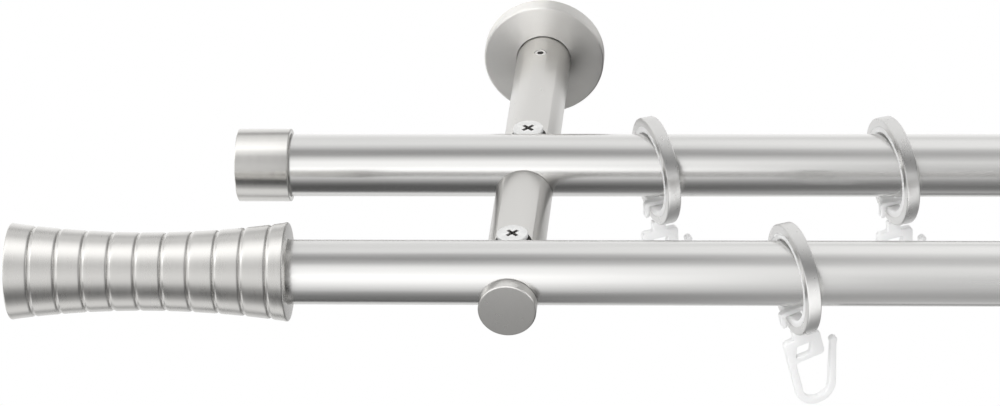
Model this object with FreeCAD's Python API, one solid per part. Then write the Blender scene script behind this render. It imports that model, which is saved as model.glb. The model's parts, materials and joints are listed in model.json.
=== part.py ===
import FreeCAD, Part
import math
import os

from FreeCAD import Placement, Rotation, Vector

# Double curtain pole: two round poles of brushed steel, carried one behind the other by two wall
# brackets. Turned finials close the front pole, plain caps close the rear pole, and metal rings
# with plastic glide liners and pleat hooks run on both.
#
# Millimetres. The origin is on the wall, on the axis of the left bracket arm. X runs along the
# poles to the right, Y runs into the wall, so the room is towards minus Y, and Z is up.

# Poles
POLE_DIA = 20.0
POLE_WALL = 1.0
FRONT_POLE_OUT = 148.5      # wall to front pole axis
REAR_POLE_OUT = 83.5        # wall to rear pole axis
POLE_LIFT = 5.2             # pole axes above the arm axes
BRACKET_SPACING = 320.0     # between the two arm axes
POLE_OVERHANG = 89.9        # pole end beyond its bracket's arm axis

# Wall plate and its stub, which the arm slides over
PLATE_DIA = 36.0
PLATE_THICK = 2.5
STUB_DIA = 12.0
STUB_LEN = 22.0             # beyond the plate's face
STUB_GROOVE_DEPTH = 0.8     # ring groove that the lock screw's point drops into
STUB_GROOVE_WIDTH = 5.0
WALL_SCREW_SPACING = 26.0
WALL_SCREW_HOLE_DIA = 4.5
WALL_SCREW_SINK_DIA = 7.4

# Rosette that covers the wall plate
ROSETTE_GAP = 0.8           # plate to the rosette's wall, on the radius
ROSETTE_DEPTH = 5.5
ROSETTE_WALL = 1.2
ROSETTE_EDGE = 0.5

# Arm
ARM_DIA = 18.0
ARM_NOSE = 14.0             # arm end beyond the front pole axis
ARM_EDGE = 0.5
SOCKET_END_CLEARANCE = 1.0  # room past the stub's tip

# Lock screw, which holds the arm on the stub
LOCK_SCREW_DIA = 4.0
LOCK_SCREW_OUT = 16.2       # wall to lock screw axis
LOCK_SCREW_SINK = 0.1       # its top below the top of the arm
LOCK_SCREW_KEY = 2.0        # hexagon socket, across flats
LOCK_SCREW_KEY_DEPTH = 1.2

# Clamp screws, which hold the poles down in the saddles
CLAMP_HEAD_DIA = 9.7
CLAMP_HEAD_PROUD = 2.0      # head above the top of the arm
CLAMP_RIM = 1.2             # straight edge of the head
CLAMP_SHANK_DIA = 5.0
CLAMP_CROSS_LEN = 4.8       # cross recess at its mouth, from tip to tip
CLAMP_CROSS_WIDTH = 1.2
CLAMP_CROSS_DEPTH = 2.0
CLAMP_CROSS_FOOT_LEN = 2.2
CLAMP_CROSS_FOOT_WIDTH = 0.8
CLAMP_RECESS_DIA = 12.4
CLAMP_RECESS_DEPTH = 4.0    # below the top of the arm
CLAMP_SCREW_REACH = 9.0     # shank below the recess floor

# Finial of the front pole
FINIAL_LEN = 86.8
FINIAL_TIP_DIA = 30.0
FINIAL_WAIST_DIA = 24.3
FINIAL_POLE_END_DIA = 30.7
FINIAL_WAIST_AT = 40.7      # from the tip
FINIAL_GROOVES = 10
FINIAL_GROOVE_FIRST = 7.7   # from the tip to the middle of the first groove's floor
FINIAL_GROOVE_PITCH = 8.2
FINIAL_GROOVE_WIDTH = 0.6   # flat floor
FINIAL_GROOVE_DEPTH = 0.6
FINIAL_BAND_ROUND = 1.0     # length over which a band rounds down to the groove after it
FINIAL_BAND_BEVEL = 0.25    # length of the bevel with which the next band starts
FINIAL_EDGE = 0.6
FINIAL_BORE_DEPTH = 21.7
GRUB_SCREW_DIA = 4.0
GRUB_SCREW_IN = 9.0         # from the finial's pole end
GRUB_SCREW_SINK = 0.3
GRUB_SCREW_KEY = 2.0
GRUB_SCREW_KEY_DEPTH = 1.5

# Cap and friction sleeve of the rear pole
CAP_DIA = 23.4
CAP_LEN = 17.0
CAP_END_WALL = 2.2
CAP_SIDE_WALL = 1.0
CAP_EDGE = 0.5
SLEEVE_LEN = 11.0

# Rings and glide liners
RING_DIA = 34.8
RING_BAND = 2.7             # metal, from inside to outside
RING_WIDTH = 4.4
RING_EDGE = 0.3
LINER_BAND = 2.1
LINER_LIP = 0.5             # broken edges of the liner's bore
RING_YAW = 23.0             # rings hang turned to the left by this many degrees
REAR_RING_PLACES = (41.7, 116.8)    # from the nearer bracket's arm axis
FRONT_RING_PLACES = (87.2,)         # and one more ring midway

# Pleat hook, in its own plane: u across and v up from the middle of the ring's band
HOOK_THICK = 2.2
REAR_HOOK_LEAN = 0.0        # degrees that a hook leans on its ring
FRONT_HOOK_LEAN = 12.0      # the loop is sized for this, the larger lean
LOOP_BAR = 1.6              # side and top bars of the loop round the ring
LOOP_CORNER = 1.2
LOOP_LIP = -0.1             # middle of the round lip where the loop's open side ends
NECK_LEFT = -2.1
NECK_RIGHT = 2.3
FRAME_TOP = -6.4
FRAME_BOTTOM = -15.1
FRAME_LEFT = -5.7
FRAME_RIGHT = 6.5
FRAME_CORNER = 1.4
WINDOW_LEFT = -2.9
WINDOW_RIGHT = 3.1
WINDOW_TOP = -9.3
WINDOW_BOTTOM = -13.1
WINDOW_SLANT = 1.2          # right side of the window lies this much higher
LEG_WIDTH = 2.4             # fixed leg and bend
TIP_WIDTH = 1.6             # free leg at its end
BEND_RADIUS = 5.5           # of the bend's middle line
BEND_V = -25.7
FREE_LEG_LEAN = 14.0        # degrees that the free leg leans out
FREE_LEG_TOP = -12.2
TIP_BEAD_DIA = 2.5

# Clearances
SADDLE_CLEARANCE = 0.1      # round the pole, on the radius
POLE_FIT = 0.1              # round the pole in finial, sleeve and cap, on the radius
STUB_FIT = 0.1
THREAD_FIT = 0.05
ARM_TO_ROSETTE = 0.15
CLAMP_GAP = 0.15            # clamp screw's rim to the pole
RING_ON_POLE = 0.12         # glide liner to the top of the pole
LINER_FIT = 0.05            # glide liner in the ring, on the radius
LOOP_CLEARANCE = 0.3        # ring's band to the loop, on each side
END_PLAY = 0.2              # pole end to the bottom of its bore

X = Vector(1, 0, 0)
Y = Vector(0, 1, 0)
Z = Vector(0, 0, 1)

POLE_R = POLE_DIA / 2
ARM_R = ARM_DIA / 2
RING_R = RING_DIA / 2
RING_BORE_R = RING_R - RING_BAND
LINER_BORE_R = RING_BORE_R - LINER_BAND
SET_LEFT = -POLE_OVERHANG
SET_RIGHT = BRACKET_SPACING + POLE_OVERHANG
SET_MIDDLE = BRACKET_SPACING / 2


def cylinder(radius, length, start, axis):
    return Part.makeCylinder(radius, length, start, axis)


def turned(profile, axis_point, axis):
    """A solid of revolution. The profile's corners are (along the axis, radius)."""
    side = Z if abs(axis.dot(Z)) < 0.5 else X
    corners = [axis_point + axis * along + side * radius for along, radius in profile]
    outline = Part.makePolygon(corners + corners[:1])
    return Part.Face(outline).revolve(axis_point, axis, 360)


def hex_prism(across_flats, depth, top, axis):
    """A hexagon socket's tool, from its mouth at top down against axis."""
    side = Y if abs(axis.dot(Y)) < 0.5 else Z
    corner = side * (across_flats / math.sqrt(3))
    turns = [Rotation(axis, 60 * i).multVec(corner) for i in range(7)]
    return Part.Face(Part.makePolygon([top + turn for turn in turns])).extrude(axis * -depth)


def mirrored(shape):
    """The same piece at the other end of the set."""
    return shape.mirror(Vector(SET_MIDDLE, 0, 0), X)


# Brackets

def clamp_screw_back():
    """Clamp screw's axis behind the pole's axis, where its rim just clears the pole."""
    rim_height = ARM_R + CLAMP_HEAD_PROUD - CLAMP_RIM - POLE_LIFT
    reach = math.sqrt((POLE_R + CLAMP_GAP) ** 2 - rim_height ** 2)
    return CLAMP_HEAD_DIA / 2 + reach


def wall_plate(x):
    """Round plate with a stub. Its two holes take countersunk wall screws."""
    face = Vector(x, -PLATE_THICK, 0)
    plate = cylinder(PLATE_DIA / 2, PLATE_THICK, Vector(x, 0, 0), -Y)
    stub = cylinder(STUB_DIA / 2, STUB_LEN, face, -Y)
    plate = plate.fuse(stub)
    groove_start = LOCK_SCREW_OUT - STUB_GROOVE_WIDTH / 2
    groove = turned(
        [
            (groove_start, STUB_DIA),
            (groove_start, STUB_DIA / 2 - STUB_GROOVE_DEPTH),
            (groove_start + STUB_GROOVE_WIDTH, STUB_DIA / 2 - STUB_GROOVE_DEPTH),
            (groove_start + STUB_GROOVE_WIDTH, STUB_DIA),
        ],
        Vector(x, 0, 0),
        -Y,
    )
    plate = plate.cut(groove)
    sink_depth = (WALL_SCREW_SINK_DIA - WALL_SCREW_HOLE_DIA) / 2
    for side in (-1, 1):
        hole_x = x + side * WALL_SCREW_SPACING / 2
        hole = cylinder(WALL_SCREW_HOLE_DIA / 2, PLATE_THICK, Vector(hole_x, 0, 0), -Y)
        sink = Part.makeCone(
            WALL_SCREW_HOLE_DIA / 2,
            WALL_SCREW_SINK_DIA / 2,
            sink_depth,
            Vector(hole_x, sink_depth - PLATE_THICK, 0),
            -Y,
        )
        plate = plate.cut(hole).cut(sink)
    return plate.removeSplitter()


def rosette(x):
    """Hollow turned cover over the wall plate, with the arm through its middle."""
    inner = PLATE_DIA / 2 + ROSETTE_GAP
    outer = inner + ROSETTE_WALL
    hole = ARM_R + ARM_TO_ROSETTE
    return turned(
        [
            (0, outer),
            (ROSETTE_DEPTH - ROSETTE_EDGE, outer),
            (ROSETTE_DEPTH, outer - ROSETTE_EDGE),
            (ROSETTE_DEPTH, hole),
            (ROSETTE_DEPTH - ROSETTE_WALL, hole),
            (ROSETTE_DEPTH - ROSETTE_WALL, inner),
            (0, inner),
        ],
        Vector(x, 0, 0),
        -Y,
    )


def saddle(x, pole_out):
    """What the arm loses for one pole: a round seat, open upwards."""
    radius = POLE_R + SADDLE_CLEARANCE
    start = Vector(x - ARM_DIA, -pole_out, POLE_LIFT)
    seat = cylinder(radius, 2 * ARM_DIA, start, X)
    corner = start - Y * radius
    opening = Part.makeBox(2 * ARM_DIA, 2 * radius, ARM_DIA, corner)
    return seat.fuse(opening)


def clamp_recess(x, pole_out):
    """Round pocket behind a saddle, with the clamp screw's threaded hole in its floor."""
    y = clamp_screw_back() - pole_out
    floor = Vector(x, y, ARM_R - CLAMP_RECESS_DEPTH)
    pocket = cylinder(CLAMP_RECESS_DIA / 2, ARM_DIA, floor, Z)
    hole = cylinder(CLAMP_SHANK_DIA / 2 + THREAD_FIT, CLAMP_SCREW_REACH + END_PLAY, floor, -Z)
    return pocket.fuse(hole)


def arm(x):
    """Round bar with a socket at the wall, two saddles and the holes for its three screws."""
    length = FRONT_POLE_OUT + ARM_NOSE - PLATE_THICK
    socket = STUB_LEN + SOCKET_END_CLEARANCE
    bore = STUB_DIA / 2 + STUB_FIT
    bar = turned(
        [
            (0, bore),
            (0, ARM_R),
            (length - ARM_EDGE, ARM_R),
            (length, ARM_R - ARM_EDGE),
            (length, 0),
            (socket, 0),
            (socket, bore),
        ],
        Vector(x, -PLATE_THICK, 0),
        -Y,
    )
    for pole_out in (REAR_POLE_OUT, FRONT_POLE_OUT):
        bar = bar.cut(saddle(x, pole_out))
        bar = bar.cut(clamp_recess(x, pole_out))
    lock_hole = cylinder(LOCK_SCREW_DIA / 2 + THREAD_FIT, ARM_DIA, Vector(x, -LOCK_SCREW_OUT, 0), Z)
    return bar.cut(lock_hole)


def lock_screw(x):
    """Socket grub screw through the top of the arm, down to the stub's groove."""
    top = Vector(x, -LOCK_SCREW_OUT, ARM_R - LOCK_SCREW_SINK)
    length = top.z - (STUB_DIA / 2 - STUB_GROOVE_DEPTH + THREAD_FIT)
    screw = cylinder(LOCK_SCREW_DIA / 2, length, top, -Z)
    return screw.cut(hex_prism(LOCK_SCREW_KEY, LOCK_SCREW_KEY_DEPTH, top, Z))


def level_rectangle(length, width, height):
    corners = [
        Vector(-length / 2, -width / 2, height),
        Vector(length / 2, -width / 2, height),
        Vector(length / 2, width / 2, height),
        Vector(-length / 2, width / 2, height),
    ]
    return Part.makePolygon(corners + corners[:1])


def cross_wing(turn):
    """One of the two slots of a cross recess, shorter and narrower at its foot."""
    mouth = level_rectangle(CLAMP_CROSS_LEN, CLAMP_CROSS_WIDTH, 0)
    foot = level_rectangle(CLAMP_CROSS_FOOT_LEN, CLAMP_CROSS_FOOT_WIDTH, -CLAMP_CROSS_DEPTH)
    wing = Part.makeLoft([mouth, foot], True, True)
    wing.rotate(Vector(0, 0, 0), Z, turn)
    return wing


def clamp_screw(x, pole_out):
    """Countersunk screw with a cross recess, whose rim holds the pole down."""
    y = clamp_screw_back() - pole_out
    head_r = CLAMP_HEAD_DIA / 2
    shank_r = CLAMP_SHANK_DIA / 2
    top = ARM_R + CLAMP_HEAD_PROUD
    cone_top = CLAMP_RIM
    cone_bottom = CLAMP_RIM + head_r - shank_r
    tip = CLAMP_HEAD_PROUD + CLAMP_RECESS_DEPTH + CLAMP_SCREW_REACH
    start = Vector(x, y, top)
    screw = turned(
        [(0, 0), (0, head_r), (cone_top, head_r), (cone_bottom, shank_r), (tip, shank_r), (tip, 0)],
        start,
        -Z,
    )
    for turn in (45, 135):
        wing = cross_wing(turn)
        wing.translate(start)
        screw = screw.cut(wing)
    return screw


# Poles, finials and caps

def pole(pole_out):
    """Straight tube, open at both ends."""
    start = Vector(SET_LEFT, -pole_out, POLE_LIFT)
    length = SET_RIGHT - SET_LEFT
    outside = cylinder(POLE_R, length, start, X)
    inside = cylinder(POLE_R - POLE_WALL, length, start, X)
    return outside.cut(inside)


def finial_radius(along):
    """Outside of the finial without its grooves: one arc through tip, waist and pole end."""
    tip = Vector(0, FINIAL_TIP_DIA / 2, 0)
    waist = Vector(FINIAL_WAIST_AT, FINIAL_WAIST_DIA / 2, 0)
    pole_end = Vector(FINIAL_LEN, FINIAL_POLE_END_DIA / 2, 0)
    sweep = Part.Arc(tip, waist, pole_end).toShape().Curve
    middle = sweep.Center
    return middle.y - math.sqrt(sweep.Radius ** 2 - (along - middle.x) ** 2)


def finial_tip():
    """X of the left finial's outer end, one bore depth and end play past the pole."""
    return SET_LEFT - END_PLAY - (FINIAL_LEN - FINIAL_BORE_DEPTH)


def groove_corners(middle):
    """One groove: the band before it rounds down to its floor, the next starts with a bevel."""
    floor_start = middle - FINIAL_GROOVE_WIDTH / 2
    floor_end = middle + FINIAL_GROOVE_WIDTH / 2
    corners = []
    for degrees in (0, 45, 90):
        angle = math.radians(degrees)
        along = floor_start - FINIAL_BAND_ROUND * (1 - math.sin(angle))
        drop = FINIAL_GROOVE_DEPTH * (1 - math.cos(angle))
        corners.append((along, finial_radius(along) - drop))
    corners.append((floor_end, finial_radius(floor_end) - FINIAL_GROOVE_DEPTH))
    bevel_end = floor_end + FINIAL_BAND_BEVEL
    corners.append((bevel_end, finial_radius(bevel_end)))
    return corners


def left_finial():
    """Turned finial: a waisted body with evenly spaced grooves and a bore for the pole."""
    profile = [(0, 0), (0, finial_radius(0) - FINIAL_EDGE), (FINIAL_EDGE, finial_radius(FINIAL_EDGE))]
    for i in range(FINIAL_GROOVES):
        profile.extend(groove_corners(FINIAL_GROOVE_FIRST + i * FINIAL_GROOVE_PITCH))
    edge = FINIAL_LEN - FINIAL_EDGE
    bottom = FINIAL_LEN - FINIAL_BORE_DEPTH
    bore = POLE_R + POLE_FIT
    profile.append((edge, finial_radius(edge)))
    profile.append((FINIAL_LEN, finial_radius(FINIAL_LEN) - FINIAL_EDGE))
    profile.append((FINIAL_LEN, bore))
    profile.append((bottom, bore))
    profile.append((bottom, 0))
    body = turned(profile, Vector(finial_tip(), -FRONT_POLE_OUT, POLE_LIFT), X)
    x = finial_tip() + FINIAL_LEN - GRUB_SCREW_IN
    hole_start = Vector(x, -FRONT_POLE_OUT, POLE_LIFT)
    hole = cylinder(GRUB_SCREW_DIA / 2 + THREAD_FIT, FINIAL_POLE_END_DIA, hole_start, -Z)
    return body.cut(hole)


def left_grub_screw():
    """Socket grub screw, out of sight under the finial, with its point on the pole."""
    along = FINIAL_LEN - GRUB_SCREW_IN
    outer = finial_radius(along) - GRUB_SCREW_SINK
    length = outer - (POLE_R + THREAD_FIT)
    mouth = Vector(finial_tip() + along, -FRONT_POLE_OUT, POLE_LIFT - outer)
    screw = cylinder(GRUB_SCREW_DIA / 2, length, mouth, Z)
    return screw.cut(hex_prism(GRUB_SCREW_KEY, GRUB_SCREW_KEY_DEPTH, mouth, -Z))


def left_end_cap():
    """Plain turned cap with a flat end and a chamfered edge."""
    outer = CAP_DIA / 2
    bore = outer - CAP_SIDE_WALL
    end = SET_LEFT - END_PLAY - CAP_END_WALL
    return turned(
        [
            (0, 0),
            (0, outer - CAP_EDGE),
            (CAP_EDGE, outer),
            (CAP_LEN, outer),
            (CAP_LEN, bore),
            (CAP_END_WALL, bore),
            (CAP_END_WALL, 0),
        ],
        Vector(end, -REAR_POLE_OUT, POLE_LIFT),
        X,
    )


def left_end_cap_sleeve():
    """Thin plastic sleeve that holds the cap on the pole by friction."""
    outer = CAP_DIA / 2 - CAP_SIDE_WALL - POLE_FIT
    inner = POLE_R + POLE_FIT
    start = Vector(SET_LEFT, -REAR_POLE_OUT, POLE_LIFT)
    return cylinder(outer, SLEEVE_LEN, start, X).cut(cylinder(inner, SLEEVE_LEN, start, X))


# Rings, liners and hooks

def ring_drop():
    """How far a turned ring's centre hangs below the pole's axis.

    The liner touches the pole where the edge of its bore comes nearest to the pole's axis, so
    the drop is the largest at which no point of that edge comes nearer than the clearance.
    """
    yaw = math.radians(RING_YAW)
    half = RING_WIDTH / 2
    least = POLE_R + RING_ON_POLE
    drop = LINER_BORE_R
    for degree in range(-90, 91):
        angle = math.radians(degree)
        across = LINER_BORE_R * math.sin(angle) * math.cos(yaw) + half * math.sin(yaw)
        if abs(across) < least:
            rise = LINER_BORE_R * math.cos(angle) - math.sqrt(least ** 2 - across ** 2)
            drop = min(drop, rise)
    return drop


def ring_placement(x, pole_out):
    """From the ring's own frame, with its axis along X, to its place on the pole."""
    centre = Vector(x, -pole_out, POLE_LIFT - ring_drop())
    return Placement(centre, Rotation(Z, RING_YAW))


def ring():
    """Metal ring of nearly square section, with its edges broken."""
    half = RING_WIDTH / 2
    return turned(
        [
            (-half, RING_BORE_R),
            (-half, RING_R - RING_EDGE),
            (RING_EDGE - half, RING_R),
            (half - RING_EDGE, RING_R),
            (half, RING_R - RING_EDGE),
            (half, RING_BORE_R),
        ],
        Vector(0, 0, 0),
        X,
    )


def glide_liner():
    """Plastic liner pressed into the ring, with a rounded bore that runs on the pole."""
    half = RING_WIDTH / 2
    outer = RING_BORE_R - LINER_FIT
    return turned(
        [
            (-half, LINER_BORE_R + LINER_LIP),
            (-half, outer),
            (half, outer),
            (half, LINER_BORE_R + LINER_LIP),
            (half - LINER_LIP, LINER_BORE_R),
            (LINER_LIP - half, LINER_BORE_R),
        ],
        Vector(0, 0, 0),
        X,
    )


def flat_face(corners):
    points = [Vector(u, 0, v) for u, v in corners]
    return Part.Face(Part.makePolygon(points + points[:1]))


def rounded_rectangle(left, right, bottom, top, corner):
    """A face in the hook's plane with its four corners rounded."""
    face = flat_face([(left, bottom), (right, bottom), (right, top), (left, top)])
    solid = face.extrude(Y)
    upright = [e for e in solid.Edges if abs(e.tangentAt(e.FirstParameter).dot(Y)) > 0.9]
    return solid.makeFillet(corner, upright)


def slab(corners):
    return flat_face(corners).extrude(Y)


def leg(start, end, start_width, end_width):
    """A straight leg that narrows from start to end, one unit thick."""
    run = Vector(end[0] - start[0], 0, end[1] - start[1])
    run.normalize()
    side = Vector(run.z, 0, -run.x)
    corners = [
        (start[0] + side.x * start_width / 2, start[1] + side.z * start_width / 2),
        (end[0] + side.x * end_width / 2, end[1] + side.z * end_width / 2),
        (end[0] - side.x * end_width / 2, end[1] - side.z * end_width / 2),
        (start[0] - side.x * start_width / 2, start[1] - side.z * start_width / 2),
    ]
    return slab(corners)


def half_band_across(lean):
    """Half the room that the ring's band takes up across a hook that leans on it."""
    angle = math.radians(lean)
    return RING_WIDTH / 2 * math.cos(angle) + (RING_BAND + LINER_BAND) / 2 * math.sin(angle)


def half_band_along(lean):
    angle = math.radians(lean)
    return (RING_BAND + LINER_BAND) / 2 * math.cos(angle) + RING_WIDTH / 2 * math.sin(angle)


def hook_loop():
    """Loop round the ring's band, wide enough for the band as the hook leans on it.

    Its left side stops short at a round lip, so that the hook clips on and off.
    """
    across = half_band_across(FRONT_HOOK_LEAN) + LOOP_CLEARANCE
    along = half_band_along(FRONT_HOOK_LEAN) + LOOP_CLEARANCE
    outside = rounded_rectangle(
        -across - LOOP_BAR, across + LOOP_BAR, -along - LOOP_BAR, along + LOOP_BAR, LOOP_CORNER
    )
    hole = slab([(-across, -along), (across, -along), (across, along), (-across, along)])
    beyond = across + 2 * LOOP_BAR
    below = along + 2 * LOOP_BAR
    mouth = slab([(-beyond, -below), (NECK_LEFT, -below), (NECK_LEFT, LOOP_LIP), (-beyond, LOOP_LIP)])
    lip = cylinder(LOOP_BAR / 2, 1, Vector(-across - LOOP_BAR / 2, 0, LOOP_LIP), Y)
    loop = outside.cut(hole).cut(mouth).fuse(lip)
    neck_top = -along - LOOP_BAR / 2
    neck = slab([(NECK_LEFT, FRAME_TOP - LOOP_BAR), (NECK_RIGHT, FRAME_TOP - LOOP_BAR),
                 (NECK_RIGHT, neck_top), (NECK_LEFT, neck_top)])
    return loop.fuse(neck)


def hook(hook_lean):
    """One moulded pleat hook: loop, neck, frame with a slanted window, leg, bend, free leg."""
    frame = rounded_rectangle(FRAME_LEFT, FRAME_RIGHT, FRAME_BOTTOM, FRAME_TOP, FRAME_CORNER)
    window = slab([
        (WINDOW_LEFT, WINDOW_BOTTOM),
        (WINDOW_RIGHT - WINDOW_SLANT, WINDOW_BOTTOM),
        (WINDOW_RIGHT, WINDOW_TOP),
        (WINDOW_LEFT + WINDOW_SLANT, WINDOW_TOP),
    ])
    leg_u = FRAME_LEFT + LEG_WIDTH / 2
    leg_top = (leg_u, FRAME_BOTTOM + FRAME_CORNER)
    fixed_leg = leg(leg_top, (leg_u, BEND_V), LEG_WIDTH, LEG_WIDTH)
    bend_u = leg_u + BEND_RADIUS
    centre = Vector(bend_u, 0, BEND_V)
    bend = cylinder(BEND_RADIUS + LEG_WIDTH / 2, 1, centre, Y)
    bend = bend.cut(cylinder(BEND_RADIUS - LEG_WIDTH / 2, 1, centre, Y))
    lean = math.radians(FREE_LEG_LEAN)
    free_start = (bend_u + BEND_RADIUS * math.cos(lean), BEND_V - BEND_RADIUS * math.sin(lean))
    free_rise = FREE_LEG_TOP - free_start[1]
    free_end = (free_start[0] + free_rise * math.tan(lean), FREE_LEG_TOP)
    reach = 2 * BEND_RADIUS
    above_bend = slab([
        (bend_u, BEND_V),
        (bend_u + reach * math.cos(lean), BEND_V - reach * math.sin(lean)),
        (bend_u + reach, BEND_V + reach),
        (bend_u - reach, BEND_V + reach),
        (bend_u - reach, BEND_V),
    ])
    bend = bend.cut(above_bend)
    free_leg = leg(free_start, free_end, LEG_WIDTH, TIP_WIDTH)
    bead = cylinder(TIP_BEAD_DIA / 2, 1, Vector(free_end[0], 0, free_end[1]), Y)
    body = frame.multiFuse([fixed_leg, bend, free_leg, bead]).cut(window)
    body = body.fuse(hook_loop()).removeSplitter()
    thicken = FreeCAD.Matrix()
    thicken.scale(1, HOOK_THICK, 1)
    body = body.transformGeometry(thicken)
    hang = half_band_along(FRONT_HOOK_LEAN) - half_band_along(hook_lean)
    body.translate(Vector(0, -HOOK_THICK / 2, -hang))
    body.rotate(Vector(0, 0, 0), Y, -hook_lean)
    body.translate(Vector(0, 0, -(LINER_BORE_R + RING_R) / 2))
    return body


def mirrored_places(places):
    """Places measured from each bracket inwards, from left to right."""
    return list(places) + [BRACKET_SPACING - place for place in reversed(places)]


def write(name, shape):
    if not shape.isValid() or len(shape.Solids) != 1:
        raise ValueError(name + " is not one valid solid")
    shape.Solids[0].exportStep("parts/" + name + ".step")


def write_ring_set(name, x, pole_out, hook_lean):
    place = ring_placement(x, pole_out)
    for piece, shape in (("ring", ring()), ("glide_liner", glide_liner()), ("hook", hook(hook_lean))):
        shape.Placement = place.multiply(shape.Placement)
        write(name + "_" + piece, shape)


def main():
    os.makedirs("parts", exist_ok=True)
    for side, x in (("left", 0.0), ("right", BRACKET_SPACING)):
        write(side + "_wall_plate", wall_plate(x))
        write(side + "_rosette", rosette(x))
        write(side + "_arm", arm(x))
        write(side + "_arm_lock_screw", lock_screw(x))
        write(side + "_rear_clamp_screw", clamp_screw(x, REAR_POLE_OUT))
        write(side + "_front_clamp_screw", clamp_screw(x, FRONT_POLE_OUT))
    write("front_pole", pole(FRONT_POLE_OUT))
    write("rear_pole", pole(REAR_POLE_OUT))
    ends = (
        ("finial", left_finial()),
        ("finial_grub_screw", left_grub_screw()),
        ("end_cap", left_end_cap()),
        ("end_cap_sleeve", left_end_cap_sleeve()),
    )
    for name, shape in ends:
        write("left_" + name, shape)
        write("right_" + name, mirrored(shape))
    for i, x in enumerate(mirrored_places(REAR_RING_PLACES)):
        write_ring_set("rear_%d" % (i + 1), x, REAR_POLE_OUT, REAR_HOOK_LEAN)
    front_places = sorted(mirrored_places(FRONT_RING_PLACES) + [SET_MIDDLE])
    for i, x in enumerate(front_places):
        write_ring_set("front_%d" % (i + 1), x, FRONT_POLE_OUT, FRONT_HOOK_LEAN)


main()
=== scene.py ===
import json
import math

import bmesh
import bpy
from mathutils import Matrix, Vector

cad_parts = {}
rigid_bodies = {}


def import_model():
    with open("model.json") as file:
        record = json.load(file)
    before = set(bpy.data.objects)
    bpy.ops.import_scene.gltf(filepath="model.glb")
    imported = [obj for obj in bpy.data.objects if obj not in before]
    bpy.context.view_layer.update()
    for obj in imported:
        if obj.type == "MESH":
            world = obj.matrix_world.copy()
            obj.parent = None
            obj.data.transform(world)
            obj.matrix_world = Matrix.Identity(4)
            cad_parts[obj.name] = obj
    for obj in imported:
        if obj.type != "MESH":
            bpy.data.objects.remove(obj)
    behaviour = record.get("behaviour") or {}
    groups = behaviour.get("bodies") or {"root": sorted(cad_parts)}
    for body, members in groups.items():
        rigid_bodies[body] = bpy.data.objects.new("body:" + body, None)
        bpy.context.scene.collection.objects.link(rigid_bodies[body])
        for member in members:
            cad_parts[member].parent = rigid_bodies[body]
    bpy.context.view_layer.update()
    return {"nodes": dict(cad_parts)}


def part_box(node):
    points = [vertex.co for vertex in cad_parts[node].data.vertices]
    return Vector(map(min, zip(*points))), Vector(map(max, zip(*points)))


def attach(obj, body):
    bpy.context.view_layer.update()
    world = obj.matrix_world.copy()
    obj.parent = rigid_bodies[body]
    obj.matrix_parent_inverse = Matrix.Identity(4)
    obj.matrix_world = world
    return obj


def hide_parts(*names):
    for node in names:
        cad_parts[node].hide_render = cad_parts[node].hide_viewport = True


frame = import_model()

MM = 0.001
WHOLE_TURN = 2 * math.pi
ROOT = "brackets_and_poles"
SIDES = ("left", "right")
RINGS = ("rear_1", "rear_2", "rear_3", "rear_4", "front_1", "front_2", "front_3")

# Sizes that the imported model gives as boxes, in metres

REAR_LOW, REAR_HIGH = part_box("rear_pole")
FRONT_LOW, FRONT_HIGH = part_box("front_pole")
POLE_HEIGHT = (REAR_HIGH.z + REAR_LOW.z) / 2
REAR_OUT = (REAR_HIGH.y + REAR_LOW.y) / 2
FRONT_OUT = (FRONT_HIGH.y + FRONT_LOW.y) / 2
CLAMP_LOW, CLAMP_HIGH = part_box("left_front_clamp_screw")

# The other sizes, in millimetres

POLE_RADIUS = (REAR_HIGH.z - REAR_LOW.z) / 2 / MM
POLE_WALL = 1.0
POLE_EDGE = 0.15
POLE_FIT = 0.1              # round the pole in saddles and finials
THREAD_HOLE = 2.05          # radius, for the small screws
THREAD_HOLE_LEN = 12

FINIAL_TIP = 15.0           # radii at the tip, the waist and the pole end
FINIAL_WAIST = 12.15
FINIAL_END = 15.35
FINIAL_WAIST_AT = 40.7      # from the tip
FINIAL_EDGE = 0.6
FINIAL_GROOVES = 10
GROOVE_FIRST = 7.7          # from the tip to the middle of the first groove
GROOVE_PITCH = 8.2
GROOVE_FLOOR = 0.6
GROOVE_DEPTH = 0.6
GROOVE_DIP = 0.03           # floor below the rounded side's foot
BAND_ROUND = 1.0            # length over which a band rounds down to its groove
BAND_BEVEL = 0.55           # length of the bevel with which the next band starts
BAND_BEVEL_DEPTH = 0.26
FINIAL_BORE = 21.7          # depth
FINIAL_BORE_BEVEL = 0.2
GRUB_HOLE_IN = 9.0          # from the finial's pole end
GRUB_HOLE_TOP = 10.5        # below the pole's axis
FINIAL_SHARP = 28           # degrees at which shading breaks

CAP_WALL = 1.0
CAP_END = 2.2
CAP_MOUTH_FIT = 0.12        # round the pole at the mouth's lip
CAP_LIP = 1.2

ROSETTE_RADIUS = 20.0
ROSETTE_DEPTH = 5.5
ROSETTE_WALL = 1.2
ROSETTE_HOLE = 9.15         # radius, round the arm

ARM_START = 2.5             # from the wall
ARM_LEN = 160.0
ARM_RADIUS = 9.0
STUB_BORE = 6.1             # radius
STUB_BORE_DEPTH = 23
SADDLE_REACH = 18.0         # cutter's height and half length
POCKET_RADIUS = 6.2
POCKET_FLOOR = 5.0          # above the arm's axis
POCKET_CUT = 10
POCKET_SHADE_TO = 8.8        # above the arm's axis. Pocket faces below it get painted shade. Higher faces are the saddle's and stay bright
CLAMP_HOLE_FIT = 0.05
CLAMP_HOLE_DEPTH = 9.2
LOCK_SCREW_OUT = 16.2

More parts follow.
